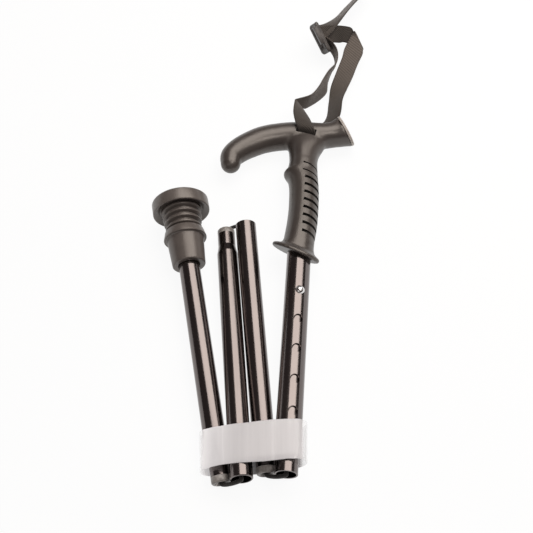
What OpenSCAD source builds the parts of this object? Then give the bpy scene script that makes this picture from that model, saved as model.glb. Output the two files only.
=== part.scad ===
// Folding walking cane, lying folded on a table: a T-handle section with push-button height setting,
// three more tube sections on one elastic cord, a rubber foot, a wrist strap and a holding band.
// Millimetres, +Z up, the table at zero. A tube's own frame has +Y along the tube and +Z up.

/* [Tubes] */
// Outside diameter of the handle tube
upper_d = 19; // [18:0.5:22]
// Wall of the handle tube
upper_wall = 1.25; // [1.1:0.05:1.5]
// Wall of the extension tube and of the three lower sections
section_wall = 1.15; // [0.9:0.05:1.4]
// Clearance all round where one tube slides in another
slide_gap = 0.05; // [0.02:0.01:0.1]
// Length of the handle tube
upper_len = 262; // [250:1:270]
// Length of the extension tube inside it
extension_len = 166; // [160:1:180]
// Length of the extension tube that shows below the handle tube
extension_show = 20; // [14:1:26]
// Length of the second section, spigot and all
second_len = 207.5; // [190:0.5:215]
// Length of the third section, spigot and all
third_len = 214; // [195:0.5:220]
// Length of the fourth section, spigot and all
fourth_len = 203; // [190:0.5:208]

/* [Spigots] */
// Straight length of a necked spigot, with its bush
spigot_len = 17; // [14:0.5:22]
// Length of the shoulder cone between spigot and tube
shoulder_len = 7; // [4:0.5:10]
// Length of the bush that shows at the end of a spigot
bush_len = 5; // [3:0.5:8]
// Length of the bush's stem inside the spigot
bush_stem_len = 7; // [4:0.5:10]
// Cord hole through the bush
bush_hole_d = 7; // [5:0.5:8]

/* [Height setting] */
// Distance between two height holes
hole_pitch = 25; // [20:0.5:26]
// Number of height holes
hole_count = 5; // [3:1:5]
// Diameter of the height holes
hole_d = 7.2; // [5:0.1:8]
// Distance of the button from the lower end of the extension tube
button_at = 144; // [138:0.5:148]
// How far the dome of the button stands out of the handle tube
button_out = 2.2; // [1:0.1:3]
// Turn of the row of holes about the tube, away from straight up
button_roll = 15; // [0:1:30]
// Thickness of the button's leaf spring
spring_t = 0.8; // [0.5:0.1:1.2]
// Width of the leaf spring
spring_w = 6; // [4:0.5:7]
// Length of the leaf spring
spring_len = 30; // [24:1:34]

/* [Grip] */
// Length of the upright grip, from its lower end to the middle of the cross bar
grip_len = 127; // [120:1:132]
// Distance of the grip's lower end from the lower end of the extension tube
grip_at = 176; // [172:1:180]
// Width of the upright grip
grip_w = 27; // [24:0.5:32]
// Thickness of the upright grip, front to back
grip_t = 26; // [24:0.5:30]
// Width of the cross bar's middle line, hook to nose
bar_w = 100; // [90:1:115]
// Drop of the hook below the middle of the cross bar
bar_drop = 40; // [32:1:48]
// Height of the cross bar at its middle
bar_h = 25; // [23:0.5:28]
// Thickness of the cross bar, front to back
bar_t = 23; // [22:0.5:25]
// Radius of the hand stop at the foot of the grip
stop_r = 20.5; // [18:0.5:22]
// Thickness of the hand stop
stop_t = 4; // [3:0.5:5]
// Tilt of the hand stop, hook side up
stop_tilt = 22; // [0:1:26]
// Tilt of the hand stop towards the front
stop_tip = 22; // [0:1:24]
// Height of the flare that runs from the hand stop into the grip
flare_len = 10; // [8:0.5:14]
// Slant of the end of the nose towards the front
nose_tip = 18; // [0:1:20]
// Number of finger grooves on the grip
groove_count = 10; // [4:1:10]
// Distance between two grooves
groove_pitch = 7.8; // [6:0.1:8]
// Width of a groove
groove_w = 2.2; // [1:0.1:3]
// Depth of a groove
groove_deep = 1.7; // [0.8:0.1:1.9]
// Width of the strap slot through the cross bar
slot_w = 19; // [17:0.5:22]
// Height of the strap slot
slot_h = 6; // [5:0.5:7]
// Tilt of the strap slot, nose side down
slot_tilt = 12; // [0:1:16]
// Thickness of the cap on the nose
cap_t = 2.4; // [1.5:0.1:4]
// Length of the cap's stem in the nose
cap_stem_len = 8; // [5:0.5:10]

/* [Foot] */
// Radius of the foot where it stands
foot_r = 23; // [20:0.1:24]
// Thickness of the standing pad
pad_len = 13.5; // [12:0.5:18]
// Length of the flexible neck
neck_len = 15.5; // [11:0.5:18]
// Number of rings on the neck
neck_rings = 4; // [2:1:5]
// Radius of the neck over the ring next to the pad
neck_r = 16; // [14:0.1:18]
// How much smaller the ring next to the collar is
neck_taper = 1.5; // [0:0.1:2.5]
// Depth of the furrows between the rings
neck_furrow = 2.2; // [1:0.1:3]
// Radius of the hollow in the neck
neck_hollow_r = 8; // [5:0.5:10]
// Length of the socket that grips the tube
socket_len = 31; // [26:0.5:36]
// Radius of the socket at its open end
socket_r = 12.8; // [11.5:0.1:14.5]
// Radius of the collar ring
collar_r = 17; // [15.5:0.1:19]
// Length of the collar ring
collar_len = 7; // [5:0.5:12]
// Thickness of the steel washer under the tube
washer_t = 1.5; // [1:0.1:2]
// Clearance between the neck and the pieces that it flexes between
flex_gap = 0.3; // [0.2:0.05:0.5]

/* [Cord] */
// Diameter of the elastic cord
cord_d = 3; // [2:0.1:4]
// Length of cord that runs free inside the open end of a tube
cord_free = 44; // [36:1:50]
// Length of the plugs that hold the ends of the cord
plug_len = 8; // [5:0.5:12]
// Diameter of the knots at the ends of the cord
knot_d = 7; // [5:0.5:9]
// Distance of the upper plug from the lower end of the extension tube
plug_at = 112; // [100:1:114]

/* [Band] */
// Width of the holding band along the tubes
band_w = 29; // [20:0.5:40]
// Wall of the band
band_t = 0.8; // [0.5:0.1:1.5]
// Clearance between the band and the tubes
band_gap = 0.4; // [0.3:0.1:1]
// How far the band's ends stand off the outer two tubes
band_slack = 3; // [0:0.5:5]
// Distance of the band's lower edge from the lower end of the extension tube
band_at = 6.5; // [4:0.5:12]
// Turn of the band on the bundle
band_turn = 3; // [-6:0.5:6]

/* [Strap] */
// Width of the strap's webbing
strap_w = 16; // [12:0.5:17]
// Thickness of the webbing
strap_t = 1.4; // [1:0.1:2]
// Length of the slide buckle
buckle_len = 22; // [20:0.5:26]
// Width of the slide buckle, across the strap
buckle_w = 30; // [26:0.5:34]
// Thickness of the slide buckle
buckle_t = 3.6; // [3:0.1:5]
// Width of the buckle's bars
buckle_bar = 4; // [3:0.1:5]

/* [Fold] */
// Lean of the handle section on the table, leftwards
upper_lean = -3.9; // [-8:0.1:0]
// Rise of the handle section towards the handle
upper_rise = -1; // [-2:0.1:1]
// Lean of the second section
second_lean = 4.7; // [2:0.1:8]
// Rise of the second section
second_rise = 2.2; // [0:0.1:4]
// Lean of the third section
third_lean = 4.3; // [2:0.1:8]
// Rise of the third section
third_rise = -2.8; // [-4:0.1:0]
// Lean of the fourth section
fourth_lean = 9.7; // [6:0.1:14]
// Rise of the fourth section
fourth_rise = 3.5; // [2:0.1:5]
// Lower end of the handle section, to the right
upper_x = 28.5; // [24:0.1:34]
// Lower end of the handle section, along the table
upper_y = -160; // [-170:0.5:-150]
// Lower end of the handle section, above the table
upper_z = 20; // [19:0.1:24]
// Lower end of the second section, to the right
second_x = 15; // [10:0.1:18]
// Lower end of the second section, along the table
second_y = -156.5; // [-166:0.5:-150]
// Lower end of the second section, above the table
second_z = 9.4; // [9:0.1:11]
// Lower end of the third section, to the right
third_x = -2.2; // [-6:0.1:0]
// Lower end of the third section, along the table
third_y = -163; // [-170:0.5:-155]
// Lower end of the third section, above the table
third_z = 19; // [18:0.1:22]
// Lower end of the fourth section, to the right
fourth_x = -16.3; // [-22:0.1:-14]
// Lower end of the fourth section, along the table
fourth_y = -163; // [-170:0.5:-155]
// Lower end of the fourth section, above the table
fourth_z = 9.4; // [9:0.1:11]
// Shift that brings the middle of the bundle to the origin, to the right
lay_x = -6.76; // [-12:0.01:0]
// Shift that brings the middle of the bundle to the origin, along the table
lay_y = 1.61; // [-4:0.01:8]
// Shift that brings the lowest point to the table
lay_z = -0.13; // [-2:0.01:2]

/* [Hidden] */
$fn = 64;
overrun = 1;

// Tube sizes that follow from one another
upper_bore = upper_d - 2 * upper_wall;
section_d = upper_bore - 2 * slide_gap;
section_bore = section_d - 2 * section_wall;
spigot_d = section_bore - 2 * slide_gap;
spigot_bore = spigot_d - 2 * section_wall;
seat_gap = slide_gap;
rim_round = section_wall / 3;

// Where each section's lower end lies, and how it leans and rises
lay = [lay_x, lay_y, lay_z];
upper_place = [lay + [upper_x, upper_y, upper_z], upper_lean, upper_rise];
second_place = [lay + [second_x, second_y, second_z], second_lean, second_rise];
third_place = [lay + [third_x, third_y, third_z], third_lean, third_rise];
fourth_place = [lay + [fourth_x, fourth_y, fourth_z], fourth_lean, fourth_rise];

// The foot along the fourth section
socket_end = fourth_len + washer_t;
socket_floor = 1.5;
socket_at = socket_end + socket_floor - socket_len;
neck_at = socket_at + socket_len;
pad_at = neck_at + neck_len;

// The cross bar's middle line: shares of bar_w across and of bar_drop up, then half its height and
// half its thickness as shares of bar_h and bar_t
bar_shares = [[-0.627, -0.79, 0.34, 0.36], [-0.622, -0.6, 0.4, 0.43], [-0.565, -0.41, 0.435, 0.46],
    [-0.473, -0.23, 0.465, 0.48], [-0.355, -0.065, 0.485, 0.49], [-0.18, 0.05, 0.49, 0.5],
    [0, 0.09, 0.49, 0.5], [0.12, 0.11, 0.45, 0.5], [0.21, 0.15, 0.435, 0.51], [0.275, 0.2, 0.475, 0.54],
    [0.335, 0.271, 0.57, 0.62]];
// The upright grip: shares of grip_len along, of grip_w off the axis, then half its width and half its
// thickness as shares of grip_w and grip_t
grip_shares = [[0.1, -0.022, 0.452, 0.48], [0.15, -0.022, 0.463, 0.49], [0.21, 0.009, 0.465, 0.5],
    [0.29, 0.041, 0.463, 0.5], [0.39, 0.057, 0.457, 0.5], [0.49, 0.052, 0.459, 0.5],
    [0.565, 0.035, 0.461, 0.5], [0.63, -0.011, 0.478, 0.5], [0.68, -0.093, 0.537, 0.5],
    [0.71, -0.05, 0.483, 0.5], [0.78, -0.03, 0.448, 0.5], [0.85, -0.024, 0.477, 0.5], [0.89, 0, 0.53, 0.49],
    [0.94, 0.02, 0.62, 0.47], [1, 0.03, 0.64, 0.42]];
loft_sides = 32;
loft_steps = 4;
dome_steps = 6;
// Turn of the dome on the end of the hook
dome_sweep = 82;
// Depth of the hand stop front to back, as a share of its width
stop_share = 0.78;
// Where the lowest groove cuts the grip, the core that the grooves leave, and the cap's stem beside the cap
groove_share = 0.16;
core_share = 0.46;
stem_share = 0.67;
// Rings of the foot's tread, and the corners of the buckle beside its bars
tread_shares = [0.3, 0.55, 0.8];
corner_share = 0.6;

// The strap's way, before it is laid, from the buckle down the front leg, through the slot, up the back leg
// to its fold, back to the buckle and out along the loose tail
strap_route = [[66.2, 260.4, 20], [73, 257.5, 16], [79, 250, 12], [80, 240, 10.5], [76.5, 230, 10.5],
    [71.5, 218.5, 11.5], [68, 206.5, 13], [61.5, 193.5, 16.5], [52.5, 181, 20.5], [45.3, 172, 24.5],
    [45, 158, 29.5], [46.8, 147.5, 31], [49, 141.6, 28.5], [49.2, 141.2, 14.7], [49.3, 141.6, 5],
    [52, 146, 1.7], [62, 157, 2], [74, 173, 7], [77.5, 191.5, 8.5], [81, 207, 9], [86.5, 222.5, 9.5],
    [92.5, 239, 11.5], [96.5, 250, 13.6], [101.3, 261.1, 15.9], [101.2, 261.5, 14], [92.7, 266.8, 14],
    [84, 269.5, 16], [75, 267, 18.5], [67.5, 264, 20.5], [66.5, 266, 21.5], [71.5, 271.5, 21],
    [78.5, 281.5, 19.5], [87, 295, 17], [94.5, 308.5, 14.5], [103, 322, 12.5], [112, 336, 11]];
// Half the strap's way across, as a share of half its width, at each of those points; the fold is slanted
strap_across = [[0.1, -0.45, 0.88], [0.2, -0.4, 0.89], [0.1, -0.26, 0.96], [0.11, -0.09, 0.98],
    [0.3, 0.05, 0.94], [0.05, 0.18, 0.98], [-0.2, 0.26, 0.94], [0.02, 0.24, 0.97], [0.25, 0.16, 0.95],
    [-0.22, 0.4, 0.89], [-0.86, 0.07, 0.5], [-0.95, 0.25, 0.1], [-0.962, 0.274, 0], [-0.962, 0.274, 0],
    [-0.962, 0.274, 0], [-0.95, 0.3, 0], [-0.85, 0.5, 0], [-0.75, 0.25, -0.6], [-0.75, 0.19, -0.64],
    [-0.92, 0.3, -0.25], [-0.93, 0.32, 0.15], [-0.92, 0.35, 0.2], [-0.92, 0.37, 0.15], [-0.52, 1.5, 0.2],
    [-0.52, 1.5, 0.2], [0.3, 0.85, 0.4], [0.05, 0.76, 0.65], [-0.25, 0.74, 0.62], [-0.42, 0.66, 0.62],
    [-0.5, 0.75, 0.4], [-0.58, 0.75, -0.1], [-0.66, 0.5, -0.5], [-0.64, 0.25, -0.72], [-0.64, 0.22, -0.74],
    [-0.64, 0.22, -0.74], [-0.64, 0.22, -0.74]];
strap_steps = 3;
// The ways along and across the buckle, which sits on the strap's first point
buckle_along = [0.18, -0.576, 0.755];
buckle_across = [-0.456, 0.623, 0.632];

// Directions and points along a section
function along(place) = [-sin(place[1]) * cos(place[2]), cos(place[1]) * cos(place[2]), sin(place[2])];
function on_axis(place, far) = place[0] + far * along(place);
function unit(v) = v / norm(v);

// A smooth curve through a list of points, whatever their number of values
function knot(list, i) = list[max(0, min(len(list) - 1, i))];
function curve_at(list, i, t) =
    let (a = knot(list, i - 1), b = knot(list, i), c = knot(list, i + 1), d = knot(list, i + 2))
    (2 * b + (c - a) * t + (2 * a - 5 * b + 4 * c - d) * pow(t, 2)
        + (3 * b - 3 * c + d - a) * pow(t, 3)) / 2;
function curve(list, steps) = concat(
    [for (i = [0 : len(list) - 2]) for (s = [0 : steps - 1]) curve_at(list, i, s / steps)],
    [list[len(list) - 1]]);
function heading(list, i) = unit(knot(list, i + 1) - knot(list, i - 1));

// A closed skin over rings with the same number of points
module skin(rings) {
    sides = len(rings[0]);
    count = len(rings);
    points = [for (ring = rings) for (p = ring) p];
    walls = [for (i = [0 : count - 2]) for (k = [0 : sides - 1])
        let (a = i * sides + k, b = i * sides + (k + 1) % sides)
        each [[a, b, b + sides], [a, b + sides, a + sides]]];
    first = [for (k = [sides - 1 : -1 : 0]) k];
    last = [for (k = [0 : sides - 1]) (count - 1) * sides + k];
    polyhedron(points, concat([first], walls, [last]), convexity = 10);
}

// An oval ring about a middle point of the handle, square to a heading in the handle's plane but tipped
// so that it faces the front
function oval(middle, way, half_w, half_t, tip = 0) =
    [for (k = [0 : loft_sides - 1]) let (a = 360 * k / loft_sides)
        middle + half_w * cos(a) * [way[1], -way[0], 0]
            + half_t * sin(a) * ([0, 0, cos(tip)] - sin(tip) * way)];

// Draws in a section's own frame
module placed(place) {
    translate(place[0]) rotate([place[2], 0, place[1]]) children();
}

// Turns a shape made up the Z axis so that it runs along +Y
module lengthwise(from) {
    translate([0, from, 0]) rotate([-90, 0, 0]) children();
}

module tube(from, to, outside, inside) {
    lengthwise(from) difference() {
        cylinder(d = outside, h = to - from);
        translate([0, 0, -overrun]) cylinder(d = inside, h = to - from + 2 * overrun);
    }
}

// A tube along +Y that is necked to a spigot at its near end
module necked_tube(length) {
    shoulder_at = spigot_len + shoulder_len;
    lengthwise(0) rotate_extrude() polygon([[spigot_bore / 2, bush_len], [spigot_d / 2, bush_len],
        [spigot_d / 2, spigot_len], [section_d / 2, shoulder_at], [section_d / 2, length - rim_round],
        [section_d / 2 - rim_round, length], [section_bore / 2, length], [section_bore / 2, shoulder_at],
        [spigot_bore / 2, spigot_len]]);
}

// The bush in the end of a spigot, through which the cord leaves
module bush() {
    stem_d = spigot_bore - 2 * seat_gap;
    lengthwise(0) rotate_extrude() polygon([[bush_hole_d / 2 + rim_round, 0], [spigot_d / 2 - rim_round, 0],
        [spigot_d / 2, rim_round], [spigot_d / 2, bush_len], [stem_d / 2, bush_len],
        [stem_d / 2, bush_len + bush_stem_len], [bush_hole_d / 2, bush_len + bush_stem_len],
        [bush_hole_d / 2, rim_round]]);
}

module cord_run(from, to) {
    lengthwise(from) cylinder(d = cord_d, h = to - from);
}

// A plug in a tube, bored for the cord
module cord_plug(from) {
    tube(from, from + plug_len, section_bore - 2 * seat_gap, cord_d + 2 * seat_gap);
}

module cord_knot(from) {
    lengthwise(from + knot_d / 2) sphere(d = knot_d);
}

// The cord from the open end of one section round into the bush of the next
cord_sides = 8;
cord_rings = 16;
bend_reach = 4.5;
bend_slack = 4;
function bend_at(a, b, c, d, t) = pow(1 - t, 3) * a + 3 * t * pow(1 - t, 2) * b
    + 3 * pow(t, 2) * (1 - t) * c + pow(t, 3) * d;
module cord_bend(open_end, open_way, tip, tip_way) {
    ahead = (tip - open_end) * open_way;
    from = open_end + max(0, ahead - bend_slack) * open_way;
    to = tip + max(0, -ahead - bend_slack) * tip_way;
    bend = [for (k = [0 : cord_rings])
        bend_at(from, from + bend_reach * open_way, to + bend_reach * tip_way, to, k / cord_rings)];
    path = concat([open_end - cord_free * open_way], bend, [tip - bush_len * tip_way]);
    across = unit(cross(open_way, tip - open_end));
    skin([for (i = [0 : len(path) - 1])
        let (way = heading(path, i), side = unit(across - (across * way) * way), up = cross(side, way))
        [for (k = [0 : cord_sides - 1]) let (a = 360 * k / cord_sides)
            path[i] + cord_d / 2 * (cos(a) * side + sin(a) * up)]]);
}

// Handle section

module bar_loft() {
    middle_y = grip_at + grip_len;
    rows = curve([for (s = bar_shares)
        [s[0] * bar_w, middle_y + s[1] * bar_drop, s[2] * bar_h, s[3] * bar_t]], loft_steps);
    spots = [for (r = rows) [r[0], r[1], 0]];
    first_way = heading(spots, 0);
    dome = [for (s = [dome_steps : -1 : 1]) let (a = dome_sweep * s / dome_steps)
        oval(spots[0] - rows[0][2] * sin(a) * first_way, first_way,
            rows[0][2] * cos(a), rows[0][3] * cos(a))];
    skin(concat(dome, [for (i = [0 : len(rows) - 1]) oval(spots[i], heading(spots, i), rows[i][2], rows[i][3],
        nose_tip * max(0, spots[i][0] / nose_end[0]))]));
}

module grip_loft() {
    rows = curve([for (s = grip_shares)
        [s[1] * grip_w, grip_at + s[0] * grip_len, s[2] * grip_w, s[3] * grip_t]], loft_steps);
    skin([for (r = rows) oval([r[0], r[1], 0], [0, 1, 0], r[2], r[3])]);
}

// The end of the nose, where the cap sits
nose_share = bar_shares[len(bar_shares) - 1];
nose_end = [nose_share[0] * bar_w, grip_at + grip_len + nose_share[1] * bar_drop, 0];
before_share = curve_at(bar_shares, len(bar_shares) - 2, (loft_steps - 1) / loft_steps);
nose_way = unit(nose_end - [before_share[0] * bar_w, grip_at + grip_len + before_share[1] * bar_drop, 0]);
nose_turn = atan2(nose_way[1], nose_way[0]) - 90;
cap_r = nose_share[2] * bar_h;
cap_stem_r = cap_r * stem_share;

module at_nose() {
    translate(nose_end) rotate([0, 0, nose_turn]) rotate([nose_tip, 0, 0]) children();
}

// An oval disc with a round edge, tilted on the grip, and the flare above it
module hand_stop() {
    middle = [-grip_w / 10, grip_at + 2 * stop_t, 0];
    way = [sin(stop_tilt), cos(stop_tilt), 0];
    lip = [for (k = [0 : dome_steps]) let (a = 180 * k / dome_steps - 90,
            half_w = stop_r - stop_t / 2 * (1 - cos(a)))
        oval(middle + stop_t / 2 * sin(a) * way, way, half_w, half_w * stop_share, stop_tip)];
    foot = middle + stop_t / 2 * way;
    top = [grip_shares[1][1] * grip_w, foot[1] + flare_len, 0];
    flare = [for (k = [1 : dome_steps]) let (t = k / dome_steps, left = pow(1 - t, 3),
            turn = stop_tilt * (1 - t),
            half_w = grip_w * grip_shares[1][2] * (1 - left) + (stop_r - stop_t) * left,
            half_t = grip_t * grip_shares[1][3] * (1 - left) + (stop_r - stop_t) * stop_share * left)
        oval(foot + t * (top - foot), [sin(turn), cos(turn), 0], half_w, half_t, stop_tip * (1 - t))];
    skin(concat(lip, flare));
}

module grooves() {
    lowest = grip_at + grip_len * groove_share;
    inner_r = grip_w * core_share - groove_deep;
    intersection() {
        for (k = [0 : groove_count - 1])
            translate([grip_w / 20, 0, 0]) tube(lowest + k * groove_pitch,
                lowest + k * groove_pitch + groove_w, grip_w + 2 * groove_deep, 2 * inner_r);
        translate([grip_w / 40, grip_at, -grip_w]) cube([grip_w, grip_len, 2 * grip_w]);
    }
}

module handle_grip() {
    tube_top = extension_show + upper_len;
    color("#4b4440") placed(upper_place) difference() {
        union() {
            bar_loft();
            grip_loft();
            hand_stop();
        }
        lengthwise(grip_at - 2 * stop_r)
            cylinder(d = upper_d + 2 * seat_gap, h = tube_top + seat_gap - grip_at + 2 * stop_r);
        translate([0, grip_at + grip_len, 0]) rotate([0, 0, -slot_tilt])
            cube([slot_w, slot_h, 2 * bar_t], center = true);
        at_nose() lengthwise(-cap_stem_len - seat_gap) rotate(180 / loft_sides)
            cylinder(r = cap_stem_r + seat_gap, h = cap_stem_len + seat_gap + overrun);
        grooves();
    }
}

module nose_cap() {
    edge = cap_t / 3;
    color("#5a524d") placed(upper_place) at_nose() {
        lengthwise(0) cylinder(r = cap_r, h = cap_t - edge);
        lengthwise(cap_t - edge) cylinder(r1 = cap_r, r2 = cap_r - edge, h = edge);
        lengthwise(-cap_stem_len) cylinder(r = cap_stem_r, h = cap_stem_len + edge);
    }
}

// A hole square to the tube's wall, in the row of height holes
module wall_hole(at) {
    rotate([0, button_roll, 0]) translate([0, at, 0]) cylinder(d = hole_d, h = upper_d);
}

module upper_tube() {
    color("#141416") placed(upper_place) difference() {
        tube(extension_show, extension_show + upper_len, upper_d, upper_bore);
        for (k = [0 : hole_count - 1]) wall_hole(button_at - k * hole_pitch);
    }
}

module wrist_strap() {
    path = curve(strap_route, strap_steps);
    across = curve(strap_across, strap_steps);
    color("#4a423d") translate(lay) skin([for (i = [0 : len(path) - 1])
        let (side = across[i], up = unit(cross(side, heading(path, i))))
        [for (c = [[-1, -1], [1, -1], [1, 1], [-1, 1]])
            path[i] + c[0] * strap_w / 2 * side + c[1] * strap_t / 2 * up]]);
}

module strap_buckle() {
    window_w = (strap_w + buckle_w - 2 * buckle_bar) / 2;
    window_len = (buckle_len - 3 * buckle_bar) / 2;
    corner_r = buckle_bar * corner_share;
    buckle_place = lay + strap_route[0];
    way = unit(buckle_along);
    side = unit(buckle_across - (buckle_across * way) * way);
    up = cross(side, way);
    color("#2a2624") multmatrix([for (k = [0 : 2]) [side[k], way[k], up[k], buckle_place[k]]])
        translate([0, 0, -buckle_t / 2]) difference() {
            linear_extrude(buckle_t) offset(corner_r)
                square([buckle_w - 2 * corner_r, buckle_len - 2 * corner_r], center = true);
            for (k = [-1, 1]) translate([0, k * (window_len + buckle_bar) / 2, buckle_t / 2])
                cube([window_w, window_len, buckle_t + 2 * overrun], center = true);
        }
}

// Extension and its button

module extension_tube() {
    color("#1a1a1c") placed(upper_place) difference() {
        tube(0, extension_len, section_d, section_bore);
        wall_hole(button_at);
    }
}

button_d = hole_d - 2 * slide_gap;
button_top = upper_d / 2 + button_out;
button_flange_t = 1;
button_seat = section_bore / 2 * cos(asin(button_d / section_bore)) - button_flange_t;

module snap_button() {
    dome_r = (pow(button_d / 2, 2) + pow(button_out, 2)) / (2 * button_out);
    color("#d8d8dc") placed(upper_place) rotate([0, button_roll, 0]) translate([0, button_at, 0])
        intersection() {
            translate([0, 0, button_seat]) cylinder(d = button_d, h = button_top - button_seat);
            translate([0, 0, button_top - dome_r]) sphere(r = dome_r + seat_gap);
        }
}

module button_spring() {
    leaf_top = button_seat - seat_gap;
    bend_r = (leaf_top + section_bore / 2 - seat_gap) / 2 - spring_t;
    low_r = sqrt(pow(section_bore / 2 - seat_gap, 2) - pow(spring_w / 2, 2));
    color("#b8b8b4") placed(upper_place) rotate([0, button_roll, 0])
        translate([-spring_w / 2, button_at + spring_t - spring_len / 2, 0])
        rotate([90, 0, 90]) linear_extrude(spring_w) union() {
            translate([0, leaf_top - spring_t]) square([spring_len, spring_t]);
            translate([0, -low_r]) square([spring_len, spring_t]);
            translate([0, -low_r]) square([spring_t, low_r + leaf_top]);
        }
}

module cord_top_plug() {
    color("#c9c4bc") placed(upper_place) cord_plug(plug_at);
}

module cord_top_knot() {
    color("#3a3634") placed(upper_place) cord_knot(plug_at + plug_len);
}

module cord_upper() {
    color("#3a3634") placed(upper_place) cord_run(cord_free, plug_at + plug_len);
}

module cord_bend_lower() {
    color("#3a3634") cord_bend(on_axis(upper_place, 0), -along(upper_place),
        on_axis(second_place, 0), -along(second_place));
}

// Second section, open at the top

module second_tube() {
    color("#141416") placed(second_place) necked_tube(second_len);
}

module second_bush() {
    color("#8d8985") placed(second_place) bush();
}

module cord_second() {
    color("#3a3634") placed(second_place) cord_run(bush_len, second_len - cord_free);
}

module cord_bend_upper() {
    color("#3a3634") cord_bend(on_axis(second_place, second_len), along(second_place),
        on_axis(third_place, third_len), along(third_place));
}

// Third section, its spigot at the top and its open end at the bottom

module third_turned() {
    placed(third_place) translate([0, third_len, 0]) rotate([0, 0, 180]) children();
}

module third_tube() {
    color("#141416") third_turned() necked_tube(third_len);
}

module third_bush() {
    color("#8d8985") third_turned() bush();
}

module cord_third() {
    color("#3a3634") third_turned() cord_run(bush_len, third_len - cord_free);
}

module cord_bend_tip() {
    color("#3a3634") cord_bend(on_axis(third_place, 0), -along(third_place),
        on_axis(fourth_place, 0), -along(fourth_place));
}

// Fourth section and its rubber foot

module fourth_tube() {
    color("#141416") placed(fourth_place) necked_tube(fourth_len);
}

module fourth_bush() {
    color("#8d8985") placed(fourth_place) bush();
}

tip_plug_at = fourth_len - plug_len - knot_d;

module cord_fourth() {
    color("#3a3634") placed(fourth_place) cord_run(bush_len, tip_plug_at + plug_len);
}

module cord_tip_plug() {
    color("#c9c4bc") placed(fourth_place) cord_plug(tip_plug_at);
}

module cord_tip_knot() {
    color("#3a3634") placed(fourth_place) cord_knot(tip_plug_at + plug_len);
}

module foot_socket() {
    bore_r = section_d / 2 + seat_gap;
    edge = socket_floor / 2;
    neck_end = socket_len - collar_len;
    color("#69625d") placed(fourth_place) lengthwise(socket_at) rotate_extrude() polygon([
        [bore_r, 0], [socket_r - edge, 0], [socket_r, edge],
        [(socket_r + collar_r) / 2 - edge, neck_end - edge], [collar_r - edge, neck_end],
        [collar_r, neck_end + edge], [collar_r, socket_len - edge], [collar_r - edge, socket_len],
        [0, socket_len], [0, socket_len - socket_floor], [bore_r, socket_len - socket_floor]]);
}

module foot_washer() {
    color("#b0b0b0") placed(fourth_place) lengthwise(fourth_len) cylinder(d = section_d, h = washer_t);
}

module foot_neck() {
    free_len = neck_len - 2 * flex_gap;
    ring_len = free_len / neck_rings;
    color("#625b56") placed(fourth_place) lengthwise(neck_at + flex_gap) rotate_extrude() polygon(concat(
        [[neck_hollow_r, free_len], [neck_hollow_r, 0]],
        [for (k = [0 : neck_rings - 1]) let (ring_r = neck_r - neck_taper * (1 - k / (neck_rings - 1)))
            each [[ring_r - neck_furrow, k * ring_len], [ring_r, k * ring_len + ring_len / 4],
                [ring_r, k * ring_len + ring_len * 3 / 4]]],
        [[neck_r - neck_furrow, free_len]]));
}

module foot_pad() {
    edge = pad_len / 12;
    flare = pad_len / 8;
    tread = pad_len / 10;
    color("#69625d") placed(fourth_place) lengthwise(pad_at) difference() {
        rotate_extrude() polygon([[0, 0], [neck_r, 0], [foot_r - edge, flare], [foot_r, flare + edge],
            [foot_r, pad_len - edge], [foot_r - edge, pad_len], [0, pad_len]]);
        for (share = tread_shares) translate([0, 0, pad_len - tread]) difference() {
            cylinder(r = foot_r * share, h = tread + overrun);
            translate([0, 0, -overrun]) cylinder(r = foot_r * share - tread, h = tread + 3 * overrun);
        }
    }
}

// The sleeve that holds the folded bundle

band_sides = 48;

module bundle(grown) {
    spare = band_w / 4;
    hull() for (tube = [[upper_place, upper_d, band_slack], [second_place, section_d, 0],
            [third_place, section_d, 0], [fourth_place, section_d, -band_slack]])
        placed(tube[0]) translate([tube[2], 0, 0]) lengthwise(band_at - spare)
            cylinder(d = tube[1] + 2 * grown, h = band_w + 2 * spare, $fn = band_sides);
}

module holder_band() {
    color([0.85, 0.84, 0.83, 0.7]) intersection() {
        difference() {
            bundle(band_gap + band_t);
            bundle(band_gap);
        }
        translate([0, upper_place[0][1], 0]) rotate([0, 0, band_turn])
            translate([-4 * band_w, band_at, -band_w]) cube([8 * band_w, band_w, 4 * band_w]);
    }
}

handle_grip();
nose_cap();
upper_tube();
wrist_strap();
strap_buckle();
extension_tube();
snap_button();
button_spring();
cord_top_plug();
cord_top_knot();
cord_upper();
cord_bend_lower();
second_tube();
second_bush();
cord_second();
cord_bend_upper();
third_tube();
third_bush();
cord_third();
cord_bend_tip();
fourth_tube();
fourth_bush();
cord_fourth();
cord_tip_plug();
cord_tip_knot();
foot_socket();
foot_washer();
foot_neck();
foot_pad();
holder_band();
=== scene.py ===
import bpy
import bmesh
from math import cos, sin, pi, radians, sqrt
from mathutils import Euler, Matrix, Vector


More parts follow.
